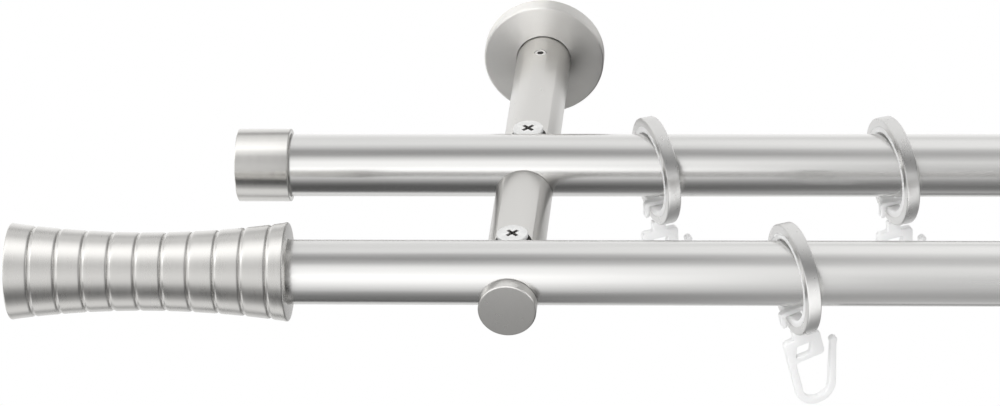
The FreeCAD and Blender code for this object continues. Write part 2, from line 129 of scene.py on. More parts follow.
CLAMP_BEHIND_POLE = ((CLAMP_LOW.y + CLAMP_HIGH.y) / 2 - FRONT_OUT) / MM
CLAMP_HEAD = 4.85           # radii
CLAMP_SHANK = 2.5
CLAMP_RIM = 1.2             # from the head's top to the ends of its rim and of its cone
CLAMP_CONE = 3.55
CROSS_MOUTH = 2.4           # half lengths of the cross recess
CROSS_FOOT = 1.1
CROSS_HALF_WIDTH = 0.6
CROSS_TAPER = 0.7           # width at the foot as a share of the mouth's
CROSS_DEPTH = 2.0
LOCK_SCREW = 1.98
KEY_CORNER = 1.155          # hexagon socket, centre to corner
KEY_DEPTH = 1.2
CUTTER_PROUD = 0.2          # that a cutter stands above the face it cuts

RING_YAW = math.radians(23)
RING_HALF_WIDTH = 2.2
RING_OUTSIDE = 17.4         # radii
RING_INSIDE = 14.7
LINER_BORE = 12.6
BAND_MIDDLE = (RING_OUTSIDE + LINER_BORE) / 2
BAND_HALF = (RING_OUTSIDE - LINER_BORE) / 2

HOOK_HALF_THICK = 1.1
HOOK_EASE = 0.35            # rounding of the moulding's edges
HOOK_LEAN = math.radians(12)    # of the front hooks. The loop is sized for it
LOOP_CLEARANCE = 0.3
LOOP_BAR = 1.6
LOOP_LIP = -0.1             # height of the round lip where the loop's open side ends
FRAME_TOP, FRAME_BOTTOM = -6.4, -15.1
FRAME_LEFT, FRAME_RIGHT = -5.7, 6.5
FRAME_CORNER = 1.4
NECK_LEFT, NECK_RIGHT = -2.1, 2.3
NECK_CORNER = 0.5
LEG_INNER = -3.3            # fixed leg's inner side
LEG_TOP = -20.0             # where the fixed leg's outer side leaves the frame
BEND_ACROSS, BEND_HEIGHT = 1.0, -25.7
BEND_INNER, BEND_RADIUS, BEND_OUTER = 4.3, 5.5, 6.7
FREE_LEG_LEAN = math.radians(14)
FREE_LEG_TOP = -12.2
TIP_HALF_WIDTH = 0.8
TIP_BEAD = 1.25
# the slanted window's corners: across, up and radius
WINDOW = ((-2.9, -13.1, 0.3), (-1.7, -9.3, 0.3), (3.1, -9.3, 0.3), (1.9, -13.1, 0.3))


# Outlines and turned meshes

def rounded(corners, steps=5):
    """A closed outline of (a, b, radius) corners, each corner rounded by its own radius."""
    points = []
    count = len(corners)
    for i, (a, b, radius) in enumerate(corners):
        here = Vector((a, b))
        if radius <= 0:
            points.append(here)
            continue
        before = (Vector(corners[i - 1][:2]) - here).normalized()
        after = (Vector(corners[(i + 1) % count][:2]) - here).normalized()
        half = before.angle(after) / 2
        start = here + before * (radius / math.tan(half))
        end = here + after * (radius / math.tan(half))
        centre = here + (before + after).normalized() * (radius / math.sin(half))
        first = start - centre
        sweep = first.angle_signed(end - centre)
        for k in range(steps + 1):
            turn = Matrix.Rotation(-sweep * k / steps, 2)
            points.append(centre + turn @ first)
    return [(p.x, p.y) for p in points]


def smooth(mesh, sharp):
    """Smooth shading that breaks at edges sharper than this many degrees."""
    mesh.shade_smooth()
    mesh.set_sharp_from_angle(angle=math.radians(sharp))


def finished_mesh(name, bm, sharp=32):
    bmesh.ops.remove_doubles(bm, verts=bm.verts, dist=1e-7)
    bmesh.ops.recalc_face_normals(bm, faces=bm.faces)
    mesh = bpy.data.meshes.new(name)
    bm.to_mesh(mesh)
    bm.free()
    smooth(mesh, sharp)
    return mesh


def in_scene(name, data):
    added = bpy.data.objects.new(name, data)
    bpy.context.scene.collection.objects.link(added)
    return added


def add_piece(name, bm, node, body=ROOT, sharp=32):
    piece = in_scene(name, finished_mesh(name, bm, sharp))
    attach(piece, body)
    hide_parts(node)
    return piece


def turned(profile, start, axis, segments):
    """A turned solid. The closed profile's points are (along the axis, radius), in millimetres."""
    axis = Vector(axis).normalized()
    side = axis.orthogonal().normalized()
    other = axis.cross(side)
    bm = bmesh.new()
    rows = []
    for along, radius in profile:
        middle = Vector(start) + axis * (along * MM)
        if radius <= 1e-9:
            rows.append([bm.verts.new(middle)])
            continue
        row = []
        for k in range(segments):
            angle = WHOLE_TURN * k / segments
            spoke = side * math.cos(angle) + other * math.sin(angle)
            row.append(bm.verts.new(middle + spoke * (radius * MM)))
        rows.append(row)
    for i, row in enumerate(rows):
        following = rows[(i + 1) % len(rows)]
        if len(row) == 1 and len(following) == 1:
            continue
        for k in range(segments):
            after = (k + 1) % segments
            if len(row) == 1:
                bm.faces.new((row[0], following[after], following[k]))
            elif len(following) == 1:
                bm.faces.new((row[k], row[after], following[0]))
            else:
                bm.faces.new((row[k], row[after], following[after], following[k]))
    return bm


def apply_modifiers(piece):
    graph = bpy.context.evaluated_depsgraph_get()
    mesh = bpy.data.meshes.new_from_object(piece.evaluated_get(graph))
    piece.modifiers.clear()
    piece.data = mesh


def cut(piece, cutter_bm):
    """Takes the cutter's volume out of the piece."""
    mesh = bpy.data.meshes.new("cutter")
    bmesh.ops.recalc_face_normals(cutter_bm, faces=cutter_bm.faces)
    cutter_bm.to_mesh(mesh)
    cutter_bm.free()
    cutter = in_scene("cutter", mesh)
    step = piece.modifiers.new("cut", "BOOLEAN")
    step.operation = "DIFFERENCE"
    step.solver = "EXACT"
    step.object = cutter
    apply_modifiers(piece)
    bpy.data.objects.remove(cutter)


def drill(piece, place, direction, radius, depth, segments=48):
    cut(piece, turned([(0, 0), (0, radius), (depth, radius), (depth, 0)], place, direction, segments))


def ease_edges(piece, width):
    """Breaks the piece's sharp edges by a small rounded bevel."""
    step = piece.modifiers.new("ease", "BEVEL")
    step.width = width * MM
    step.segments = 2
    step.limit_method = "ANGLE"
    step.angle_limit = math.radians(35)
    step.use_clamp_overlap = True
    apply_modifiers(piece)
    smooth(piece.data, 40)


def loft(near, far):
    """A closed solid between two rings of points."""
    bm = bmesh.new()
    near = [bm.verts.new(point) for point in near]
    far = [bm.verts.new(point) for point in far]
    bm.faces.new(near)
    bm.faces.new(list(reversed(far)))
    for i in range(len(near)):
        j = (i + 1) % len(near)
        bm.faces.new((near[i], near[j], far[j], far[i]))
    return bm


def prism(outline, placement, depth):
    """A solid from a flat outline in the placement's x and y, as deep as said along its z."""
    near = [placement @ Vector((a * MM, b * MM, 0)) for a, b in outline]
    far = [placement @ Vector((a * MM, b * MM, depth * MM)) for a, b in outline]
    return loft(near, far)


# Materials

def join(tree, socket, value):
    """Sets a socket to a number, or links another node's output to it."""
    if isinstance(value, (int, float)):
        socket.default_value = value
    else:
        tree.links.new(value, socket)


def maths(tree, operation, first, second):
    step = tree.nodes.new("ShaderNodeMath")
    step.operation = operation
    join(tree, step.inputs[0], first)
    join(tree, step.inputs[1], second)
    return step.outputs[0]


def scaled(tree, vector, factor):
    step = tree.nodes.new("ShaderNodeVectorMath")
    step.operation = "SCALE"
    tree.links.new(vector, step.inputs[0])
    tree.links.new(factor, step.inputs["Scale"])
    return step.outputs[0]


def mapped(tree, value, low, high, new_low=0.0, new_high=1.0):
    step = tree.nodes.new("ShaderNodeMapRange")
    tree.links.new(value, step.inputs["Value"])
    step.inputs["From Min"].default_value = low
    step.inputs["From Max"].default_value = high
    step.inputs["To Min"].default_value = new_low
    step.inputs["To Max"].default_value = new_high
    return step.outputs[0]


def noise(tree, place, scale, detail):
    step = tree.nodes.new("ShaderNodeTexNoise")
    tree.links.new(place, step.inputs["Vector"])
    join(tree, step.inputs["Scale"], scale)
    step.inputs["Detail"].default_value = detail
    return step.outputs["Fac"]


def object_place(tree):
    return tree.nodes.new("ShaderNodeTexCoord").outputs["Object"]


def placed_group(tree, group, values):
    """A group's node, with its own values for the inputs that are named."""
    node = tree.nodes.new("ShaderNodeGroup")
    node.node_tree = group
    for name, value in values.items():
        node.inputs[name].default_value = value
    return node


FLOAT = "NodeSocketFloat"
COLOUR = "NodeSocketColor"
VECTOR = "NodeSocketVector"


def new_group(name, given, made):
    """An empty group. given holds (name, kind, value) of each input and made (name, kind) of each output."""
    group = bpy.data.node_groups.new(name, "ShaderNodeTree")
    for title, kind, value in given:
        socket = group.interface.new_socket(name=title, in_out="INPUT", socket_type=kind)
        if value is not None:
            socket.default_value = value
    for title, kind in made:
        group.interface.new_socket(name=title, in_out="OUTPUT", socket_type=kind)
    return group, group.nodes.new("NodeGroupInput").outputs, group.nodes.new("NodeGroupOutput").inputs


def brushed_finish_group():
    """Fine turning or brushing lines: noise drawn out along the lines, as colour, roughness and height."""
    group, given, out = new_group("brushed finish", (
        ("Position", VECTOR, None),
        ("Line Spacing", FLOAT, 900.0),
        ("Colour", COLOUR, (0.6, 0.6, 0.6, 1)),
        ("Colour Variation", FLOAT, 0.05),
        ("Roughness", FLOAT, 0.3),
        ("Roughness Variation", FLOAT, 0.08),
    ), (("Colour", COLOUR), ("Roughness", FLOAT), ("Height", FLOAT)))
    place = scaled(group, given["Position"], given["Line Spacing"])
    lines = noise(group, place, scale=1.0, detail=3.0)
    patches = noise(group, place, scale=0.11, detail=2.0)
    centred = maths(group, "SUBTRACT", maths(group, "ADD", lines, patches), 1.0)
    tint = maths(group, "ADD", maths(group, "MULTIPLY", centred, given["Colour Variation"]), 1.0)
    rougher = maths(group, "MULTIPLY", centred, given["Roughness Variation"])
    roughness = maths(group, "ADD", rougher, given["Roughness"])
    roughness.node.use_clamp = True
    group.links.new(scaled(group, given["Colour"], tint), out["Colour"])
    group.links.new(roughness, out["Roughness"])
    group.links.new(lines, out["Height"])
    return group


def plastic_haze_group():
    """The faint unevenness of a moulded surface's gloss."""
    group, given, out = new_group("plastic haze", (
        ("Position", VECTOR, None),
        ("Grain", FLOAT, 140.0),
        ("Roughness", FLOAT, 0.4),
    ), (("Roughness", FLOAT),))
    grain = noise(group, given["Position"], given["Grain"], detail=3.0)
    haze = mapped(group, grain, 0.0, 1.0, -0.05, 0.07)
    group.links.new(maths(group, "ADD", haze, given["Roughness"]), out["Roughness"])
    return group


BRUSHED_FINISH = brushed_finish_group()
PLASTIC_HAZE = plastic_haze_group()


def new_material(name):
    material = bpy.data.materials.new(name)
    material.use_nodes = True
    return material, material.node_tree, material.node_tree.nodes["Principled BSDF"].inputs


def steel(name, colour, roughness, stretch, spacing=900.0, colour_variation=0.06, roughness_variation=0.10,
          height=0.0004, turned_about=None):
    """Metal with brushing lines.

    stretch shortens the axes that the lines run along, and height is theirs in millimetres.
    turned_about names the axis of a face whose turning lines also draw out its highlights.
    """
    material, tree, surface = new_material(name)
    surface["Metallic"].default_value = 1.0
    shrink = tree.nodes.new("ShaderNodeVectorMath")
    shrink.operation = "MULTIPLY"
    shrink.inputs[1].default_value = stretch
    tree.links.new(object_place(tree), shrink.inputs[0])
    finish = placed_group(tree, BRUSHED_FINISH, {
        "Line Spacing": spacing,
        "Colour": (*colour, 1),
        "Colour Variation": colour_variation,
        "Roughness": roughness,
        "Roughness Variation": roughness_variation,
    })
    tree.links.new(shrink.outputs[0], finish.inputs["Position"])
    tree.links.new(finish.outputs["Colour"], surface["Base Color"])
    tree.links.new(finish.outputs["Roughness"], surface["Roughness"])
    bump = tree.nodes.new("ShaderNodeBump")
    bump.inputs["Strength"].default_value = 0.25
    bump.inputs["Distance"].default_value = height * MM
    tree.links.new(finish.outputs["Height"], bump.inputs["Height"])
    tree.links.new(bump.outputs[0], surface["Normal"])
    if turned_about:
        surface["Anisotropic"].default_value = 0.9
        surface["Anisotropic Rotation"].default_value = 0.25
        lines = tree.nodes.new("ShaderNodeTangent")
        lines.direction_type = "RADIAL"
        lines.axis = turned_about
        tree.links.new(lines.outputs[0], surface["Tangent"])
    return material


def plastic(name, colour, roughness):
    material, tree, surface = new_material(name)
    haze = placed_group(tree, PLASTIC_HAZE, {"Roughness": roughness})
    tree.links.new(object_place(tree), haze.inputs["Position"])
    tree.links.new(haze.outputs["Roughness"], surface["Roughness"])
    surface["Base Color"].default_value = (*colour, 1)
    surface["Subsurface Weight"].default_value = 0.6
    surface["Subsurface Radius"].default_value = (0.004, 0.004, 0.004)
    surface["Subsurface Scale"].default_value = 0.6
    return material


SATIN = (0.66, 0.65, 0.63)
EVEN = (1.0, 1.0, 1.0)
ALONG_X = (0.03, 1.0, 1.0)
ALONG_Y = (1.0, 0.1, 1.0)
ROUND_X = (1.0, 0.15, 0.15)
ROUND_RING = (1.0, 0.5, 0.5)
pole_steel = steel("satin steel tube", (0.657, 0.653, 0.643), 0.24, ALONG_X)
turned_steel = steel("satin steel turned", SATIN, 0.28, ROUND_X)
bar_steel = steel("satin steel bar", SATIN, 0.28, ALONG_Y, colour_variation=0.012, roughness_variation=0.02)
cap_steel = steel("satin steel cap", SATIN, 0.19, ROUND_X)
rosette_steel = steel("satin steel rosette", SATIN, 0.50, EVEN, turned_about="Y")
ring_steel = steel("satin steel ring", (0.67, 0.665, 0.655), 0.29, ROUND_RING, spacing=1500.0, height=0.06)
screw_steel = steel("bright screw steel", (0.80, 0.80, 0.79), 0.22, EVEN)
# Dark steel that paints the shade in the clamp pockets and the screws' driver recesses; the metal there is
# not darker
painted_shade_steel = steel("dark steel in recesses", (0.24, 0.235, 0.23), 0.35, EVEN)
plated_steel = steel("zinc plated steel", (0.70, 0.71, 0.72), 0.33, EVEN)
hook_plastic = plastic("milky hook plastic", (0.90, 0.90, 0.90), 0.34)
liner_plastic = plastic("white liner plastic", (0.93, 0.93, 0.92), 0.40)


def dress(piece, material):
    piece.data.materials.clear()
    piece.data.materials.append(material)


def dress_within(piece, material, inside):
    """Gives the material to the faces whose middle is inside, a test on a point in metres."""
    piece.data.materials.append(material)
    index = len(piece.data.materials) - 1
    for face in piece.data.polygons:
        if inside(face.center):
            face.material_index = index


def dress_node(node, material):
    obj = frame["nodes"][node]
    if obj.material_slots:
        for holder in obj.material_slots:
            holder.material = material
    else:
        obj.data.materials.append(material)


# Poles, finials and caps

def pole(name, low, high):
    start = Vector((low.x, (low.y + high.y) / 2, (low.z + high.z) / 2))
    length = (high.x - low.x) / MM
    inner = POLE_RADIUS - POLE_WALL
    corners = ((0, POLE_RADIUS), (length, POLE_RADIUS), (length, inner), (0, inner))
    profile = rounded([(along, radius, POLE_EDGE) for along, radius in corners], steps=3)
    dress(add_piece(name + "_tube", turned(profile, start, (1, 0, 0), segments=256), name), pole_steel)


def end_piece_box(side, node):
    """Length in millimetres, the outer end's place along X, and the direction along X from it to the pole."""
    low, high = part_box(node)
    length = (high.x - low.x) / MM
    return (length, low.x, 1) if side == "left" else (length, high.x, -1)


def finial_arc(length):
    """The body's radius at a distance from the tip, on the circle through tip, waist and pole end."""
    ax, ay, bx, by, cx, cy = 0, FINIAL_TIP, FINIAL_WAIST_AT, FINIAL_WAIST, length, FINIAL_END
    a, b, c = ax * ax + ay * ay, bx * bx + by * by, cx * cx + cy * cy
    d = 2 * (ax * (by - cy) + bx * (cy - ay) + cx * (ay - by))
    centre = (a * (by - cy) + b * (cy - ay) + c * (ay - by)) / d
    height = (a * (cx - bx) + b * (ax - cx) + c * (bx - ax)) / d
    reach = math.hypot(ax - centre, ay - height)
    return lambda along: height - math.sqrt(reach ** 2 - (along - centre) ** 2)


def finial_outline(length):
    """Out from the tip's middle, along the bands and grooves, and back in the bore."""
    radius = finial_arc(length)
    edge = FINIAL_EDGE
    edge_angles = [math.radians(18 * k) for k in range(6)]
    outline = [(0, 0), (0, radius(0) - edge)]
    for angle in edge_angles[1:]:
        outline.append((edge * (1 - math.cos(angle)), radius(0) - edge * (1 - math.sin(angle))))
    band_start = edge
    for i in range(FINIAL_GROOVES):
        middle = GROOVE_FIRST + i * GROOVE_PITCH
        floor_start, floor_end = middle - GROOVE_FLOOR / 2, middle + GROOVE_FLOOR / 2
        band_end = floor_start - BAND_ROUND
        for k in range(1, 6):
            along = band_start + (band_end - band_start) * k / 6
            outline.append((along, radius(along)))
        for k in range(9):
            angle = math.radians(90 * k / 8)
            along = floor_start - BAND_ROUND * (1 - math.sin(angle))
            outline.append((along, radius(along) - GROOVE_DEPTH * (1 - math.cos(angle))))
        # the groove's floor, its wall and the next band's bevel
        outline.append((floor_start + 0.08, radius(floor_start) - GROOVE_DEPTH - GROOVE_DIP))
        outline.append((floor_end - 0.05, radius(floor_end) - GROOVE_DEPTH - GROOVE_DIP))
        outline.append((floor_end, radius(floor_end) - BAND_BEVEL_DEPTH))
        band_start = floor_end + BAND_BEVEL
        outline.append((band_start - 0.08, radius(band_start) - BAND_BEVEL_DEPTH * 0.14))
        outline.append((band_start, radius(band_start)))
    for k in range(1, 4):
        along = band_start + (length - edge - band_start) * k / 4
        outline.append((along, radius(along)))
    for angle in edge_angles:
        outline.append((length - edge * (1 - math.sin(angle)), radius(length) - edge * (1 - math.cos(angle))))
    bore, bore_end, bevel = POLE_RADIUS + POLE_FIT, length - FINIAL_BORE, FINIAL_BORE_BEVEL
    return outline + [(length, bore + bevel), (length - bevel, bore), (bore_end, bore), (bore_end, 0)]


def finial(side):
    """A waisted body whose bands round down to each groove on their pole side."""
    node = side + "_finial"
    length, tip_x, inward = end_piece_box(side, node)
    start = Vector((tip_x, FRONT_OUT, POLE_HEIGHT))
    bm = turned(finial_outline(length), start, (inward, 0, 0), segments=224)
    piece = add_piece(node + "_turning", bm, node, sharp=FINIAL_SHARP)
    hole = start + Vector((inward * (length - GRUB_HOLE_IN), 0, -GRUB_HOLE_TOP)) * MM
    drill(piece, hole, (0, 0, -1), THREAD_HOLE, THREAD_HOLE_LEN)
    smooth(piece.data, FINIAL_SHARP)
    dress(piece, turned_steel)


def end_cap(side):
    node = side + "_end_cap"
    length, end_x, inward = end_piece_box(side, node)
    low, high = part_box(node)
    outer = (high.z - low.z) / 2 / MM
    bore = outer - CAP_WALL
    mouth = POLE_RADIUS + CAP_MOUTH_FIT
    lip = length - CAP_LIP
    profile = rounded([
        (0, 0, 0), (0, outer, 0.5), (length, outer, 0.25), (length, mouth, 0.15),
        (lip, mouth, 0), (lip, bore, 0), (CAP_END, bore, 0), (CAP_END, 0, 0),
    ])
    bm = turned(profile, Vector((end_x, REAR_OUT, POLE_HEIGHT)), (inward, 0, 0), segments=192)
    dress(add_piece(node + "_turning", bm, node), cap_steel)


# Brackets

def rosette(side, x):
    face, inside = ROSETTE_DEPTH - ROSETTE_WALL, ROSETTE_RADIUS - ROSETTE_WALL
    profile = rounded([
        (0, ROSETTE_RADIUS, 0.15), (ROSETTE_DEPTH, ROSETTE_RADIUS, 0.7), (ROSETTE_DEPTH, ROSETTE_HOLE, 0.2),
        (face, ROSETTE_HOLE, 0), (face, inside, 0), (0, inside, 0.15),
    ], steps=6)
    bm = turned(profile, Vector((x, 0, 0)), (0, -1, 0), segments=256)
    dress(add_piece(side + "_rosette_turning", bm, side + "_rosette"), rosette_steel)


def saddle(x, out):
    """Cutter for the round seat of a pole that crosses the arm, open to the top."""
    radius = POLE_RADIUS + POLE_FIT
    outline = [(-radius, SADDLE_REACH)]
    for k in range(65):
        angle = math.pi * k / 64
        outline.append((-radius * math.cos(angle), -radius * math.sin(angle)))
    outline.append((radius, SADDLE_REACH))
    # the placement's x runs along -Y, its y up and its z along the pole
    seat = Matrix(((0, 0, 1, x - SADDLE_REACH * MM), (-1, 0, 0, out), (0, 1, 0, POLE_HEIGHT), (0, 0, 0, 1)))
    return prism(outline, seat, 2 * SADDLE_REACH)


def arm(side, x):
    profile = rounded([
        (0, STUB_BORE, 0), (0, ARM_RADIUS, 0.1), (ARM_LEN, ARM_RADIUS, 0.6), (ARM_LEN, 0, 0),
        (STUB_BORE_DEPTH, 0, 0), (STUB_BORE_DEPTH, STUB_BORE, 0),
    ])
    bm = turned(profile, Vector((x, -ARM_START * MM, 0)), (0, -1, 0), segments=192)
    piece = add_piece(side + "_arm_bar", bm, side + "_arm")
    pockets = [Vector((x, out + CLAMP_BEHIND_POLE * MM, POCKET_FLOOR * MM)) for out in (REAR_OUT, FRONT_OUT)]
    for out, pocket in zip((REAR_OUT, FRONT_OUT), pockets):
        cut(piece, saddle(x, out))
        drill(piece, pocket, (0, 0, 1), POCKET_RADIUS, POCKET_CUT, segments=96)
        shank_top = pocket + Vector((0, 0, 0.1 * MM))
        drill(piece, shank_top, (0, 0, -1), CLAMP_SHANK + CLAMP_HOLE_FIT, CLAMP_HOLE_DEPTH)
    drill(piece, Vector((x, -LOCK_SCREW_OUT * MM, STUB_BORE * MM)), (0, 0, 1), THREAD_HOLE, THREAD_HOLE_LEN)
    ease_edges(piece, 0.18)
    dress(piece, bar_steel)

    # Faces of the clamp pockets, whose darkened steel is painted shade in the recess
    def in_pocket(point):
        if point.z > POCKET_SHADE_TO * MM:
            return False
        reach = (POCKET_RADIUS + 0.05) * MM
        return any(math.hypot(point.x - pocket.x, point.y - pocket.y) < reach for pocket in pockets)

    dress_within(piece, painted_shade_steel, in_pocket)


def dress_screw(piece, top, radius, depth):
    """Bright steel, and steel darkened as painted shade in the driver's recess of the given radius and depth.
    """
    dress(piece, screw_steel)
    dress_within(piece, painted_shade_steel, lambda point: math.hypot(point.x - top.x, point.y - top.y) < radius * MM
                 and -depth * MM < point.z - top.z < -0.1 * MM)


def cross_slot(top, degrees):
    """Cutter for one slot of a cross recess, which narrows towards its foot."""
    spin = Matrix.Rotation(math.radians(degrees), 4, "Z")

    def end(half_length, half_width, height):
        signs = ((-1, -1), (1, -1), (1, 1), (-1, 1))
        return [top + spin @ Vector((a * half_length, b * half_width, height)) * MM for a, b in signs]

    mouth = end(CROSS_MOUTH, CROSS_HALF_WIDTH, CUTTER_PROUD)
    return loft(mouth, end(CROSS_FOOT, CROSS_HALF_WIDTH * CROSS_TAPER, -CROSS_DEPTH))


def clamp_screw(side, row, x):
    node = side + "_" + row + "_clamp_screw"
    low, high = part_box(node)
    top = Vector((x, (low.y + high.y) / 2, high.z))
    tip = (high.z - low.z) / MM
    profile = rounded([
        (0, 0, 0), (0, CLAMP_HEAD, 0.28), (CLAMP_RIM, CLAMP_HEAD, 0.12), (CLAMP_CONE, CLAMP_SHANK, 0.2),
        (tip, CLAMP_SHANK, 0.4), (tip, 0, 0),
    ])
    bm = turned(profile, top, (0, 0, -1), segments=128)
    piece = add_piece(node + "_head", bm, node)
    for degrees in (45, 135):
        cut(piece, cross_slot(top, degrees))
    ease_edges(piece, 0.07)
    dress_screw(piece, top, radius=2.5, depth=1.95)


def arm_lock_screw(side):
    node = side + "_arm_lock_screw"
    low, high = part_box(node)
    top = Vector(((low.x + high.x) / 2, (low.y + high.y) / 2, high.z))
    length = (high.z - low.z) / MM
    profile = rounded([(0, 0, 0), (0, LOCK_SCREW, 0.3), (length, LOCK_SCREW, 0.1), (length, 0, 0)], steps=4)
    bm = turned(profile, top, (0, 0, -1), segments=64)
    piece = add_piece(node + "_body", bm, node)
    sixths = [math.radians(60 * k) for k in range(6)]
    key = [(KEY_CORNER * math.cos(angle), KEY_CORNER * math.sin(angle)) for angle in sixths]
    cut(piece, prism(key, Matrix.Translation(top - Vector((0, 0, KEY_DEPTH * MM))), KEY_DEPTH + CUTTER_PROUD))
    ease_edges(piece, 0.05)
    dress_screw(piece, top, radius=1.17, depth=1.25)


# Rings, liners and hooks

def ring_band(name, place):
    """A ring and its liner. In the place's own frame the ring's axis is x."""
    axis = place.to_3x3() @ Vector((1, 0, 0))
    body = name + "_gliding_ring"

    def band(inner, inner_edge, outer, outer_edge, steps):
        half = RING_HALF_WIDTH
        profile = rounded([
            (-half, inner, inner_edge), (-half, outer, outer_edge),
            (half, outer, outer_edge), (half, inner, inner_edge),
        ], steps)
        return turned(profile, place.translation, axis, segments=224)

    ring = band(RING_INSIDE, 0.04, RING_OUTSIDE, 0.5, steps=8)
    dress(add_piece(name + "_ring_band", ring, name + "_ring", body), ring_steel)
    liner = band(LINER_BORE, 0.6, RING_INSIDE - 0.01, 0, steps=6)
    dress(add_piece(name + "_liner_lip", liner, name + "_glide_liner", body), liner_plastic)


def half_band_along(lean):
    """Half the height of the ring's band, in millimetres, along a hook that leans on it."""
    return BAND_HALF * math.cos(lean) + RING_HALF_WIDTH * math.sin(lean)


def bend_arc(radius, first, last, steps):
    """Points on an arc about the middle of the hook's bend, from one angle in degrees to another."""
    angles = [math.radians(first + (last - first) * k / steps) for k in range(steps + 1)]
    return [(BEND_ACROSS + radius * math.cos(a), BEND_HEIGHT + radius * math.sin(a)) for a in angles]


def hook_outline():
    """The hook's outline in its own plane, clockwise from the loop's upper left corner."""
    across = RING_HALF_WIDTH * math.cos(HOOK_LEAN) + BAND_HALF * math.sin(HOOK_LEAN) + LOOP_CLEARANCE
    along = half_band_along(HOOK_LEAN) + LOOP_CLEARANCE
    wide, high = across + LOOP_BAR, along + LOOP_BAR
    outline = rounded([
        (-wide, high, 1.2), (wide, high, 1.2), (wide, -high, 1.2), (NECK_RIGHT, -high, NECK_CORNER),
        (NECK_RIGHT, FRAME_TOP, NECK_CORNER), (FRAME_RIGHT, FRAME_TOP, FRAME_CORNER),
        (FRAME_RIGHT, FRAME_BOTTOM, FRAME_CORNER), (LEG_INNER, FRAME_BOTTOM, 0.9),
        (LEG_INNER, BEND_HEIGHT, 0),
    ])
    outline += bend_arc(BEND_INNER, 180, 346, steps=32)
    # up the free leg, round the bead at its tip and down again
    root_across = BEND_ACROSS + BEND_RADIUS * math.cos(FREE_LEG_LEAN)
    root_height = BEND_HEIGHT - BEND_RADIUS * math.sin(FREE_LEG_LEAN)
    tip_across = root_across + (FREE_LEG_TOP - root_height) * math.tan(FREE_LEG_LEAN)
    tip = Vector((tip_across, FREE_LEG_TOP))
    side = Vector((math.cos(FREE_LEG_LEAN), -math.sin(FREE_LEG_LEAN))) * TIP_HALF_WIDTH
    outline.append(tuple(tip - side + Vector((-0.33, -0.9))))
    for k in range(17):
        angle = math.radians(186 - 220 * k / 16)
        outline.append((tip.x + TIP_BEAD * math.cos(angle), tip.y + TIP_BEAD * math.sin(angle)))
    outline.append(tuple(tip + side + Vector((-0.14, -1.25))))
    outline += bend_arc(BEND_OUTER, -14, -180, steps=40)
    # up the neck, round the inside of the loop and round the lip where its open side ends
    outline += rounded([
        (FRAME_LEFT, LEG_TOP, 0), (FRAME_LEFT, FRAME_TOP, FRAME_CORNER), (NECK_LEFT, FRAME_TOP, NECK_CORNER),
        (NECK_LEFT, -along, NECK_CORNER), (across, -along, 0.4), (across, along, 0.4), (-across, along, 0.4),
        (-across, LOOP_LIP, 0),
    ])
    lip = LOOP_BAR / 2
    for k in range(1, 13):
        angle = math.radians(-15 * k)
        outline.append((-across - lip + lip * math.cos(angle), LOOP_LIP + lip * math.sin(angle)))
    return outline


def moulded(name, outlines):
    """A flat moulding with rounded edges, as a mesh in its own plane."""
    curve = bpy.data.curves.new(name, "CURVE")
    curve.dimensions = "2D"
    curve.fill_mode = "BOTH"
    curve.extrude = (HOOK_HALF_THICK - HOOK_EASE) * MM
    curve.bevel_depth = HOOK_EASE * MM
    curve.bevel_resolution = 3
    curve.offset = -HOOK_EASE * MM
    for points in outlines:
        spline = curve.splines.new("POLY")
        spline.points.add(len(points) - 1)
        for point, (u, v) in zip(spline.points, points):
            point.co = (u * MM, v * MM, 0, 1)
        spline.use_cyclic_u = True
    form = in_scene(name, curve)
    graph = bpy.context.evaluated_depsgraph_get()
    mesh = bpy.data.meshes.new_from_object(form.evaluated_get(graph))
    bpy.data.objects.remove(form)
    return mesh


def hook(name, place):
    mesh = moulded(name + "_hook_form", [hook_outline(), rounded(WINDOW)])
    # the moulding's x and y are the hook's across and up, and its thickness runs along the ring frame's y
    stand = Matrix(((1, 0, 0, 0), (0, 0, -1, 0), (0, 1, 0, 0), (0, 0, 0, 1)))
    angle = HOOK_LEAN if name.startswith("front") else 0.0
    hang = half_band_along(HOOK_LEAN) - half_band_along(angle)
    lean = Matrix.Rotation(-angle, 4, "Y") @ Matrix.Translation((0, 0, -hang * MM))
    drop = Matrix.Translation((0, 0, -BAND_MIDDLE * MM))
    mesh.transform(place @ drop @ lean @ stand)
    bm = bmesh.new()
    bm.from_mesh(mesh)
    body = name + "_hanging_hook"
    piece = add_piece(name + "_hook_moulding", bm, name + "_hook", body, sharp=50)
    dress(piece, hook_plastic)


pole("front_pole", FRONT_LOW, FRONT_HIGH)
pole("rear_pole", REAR_LOW, REAR_HIGH)
for side in SIDES:
    plate_low, plate_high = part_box(side + "_wall_plate")
    x = (plate_low.x + plate_high.x) / 2
    finial(side)
    end_cap(side)
    rosette(side, x)
    arm(side, x)
    clamp_screw(side, "rear", x)
    clamp_screw(side, "front", x)
    arm_lock_screw(side)
    dress_node(side + "_wall_plate", plated_steel)
    dress_node(side + "_finial_grub_screw", screw_steel)
    dress_node(side + "_end_cap_sleeve", liner_plastic)
for name in RINGS:
    ring_low, ring_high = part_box(name + "_ring")
    ring_place = Matrix.Translation((ring_low + ring_high) / 2) @ Matrix.Rotation(RING_YAW, 4, "Z")
    ring_band(name, ring_place)
    hook(name, ring_place)


# Studio: a white world and floor, light tents that only gloss sees, and two soft lamps for the plastics

def any_ray(tree, *kinds):
    """1 for the given kinds of ray, else 0."""
    path = tree.nodes.new("ShaderNodeLightPath")
    mask = path.outputs[kinds[0]]
    for kind in kinds[1:]:
        mask = maths(tree, "MAXIMUM", mask, path.outputs[kind])
    return mask


def mixed(tree, mask, first, second, out):
    mix = tree.nodes.new("ShaderNodeMixShader")
    tree.links.new(mask, mix.inputs[0])
    tree.links.new(first, mix.inputs[1])
    tree.links.new(second, mix.inputs[2])
    tree.links.new(mix.outputs[0], out)


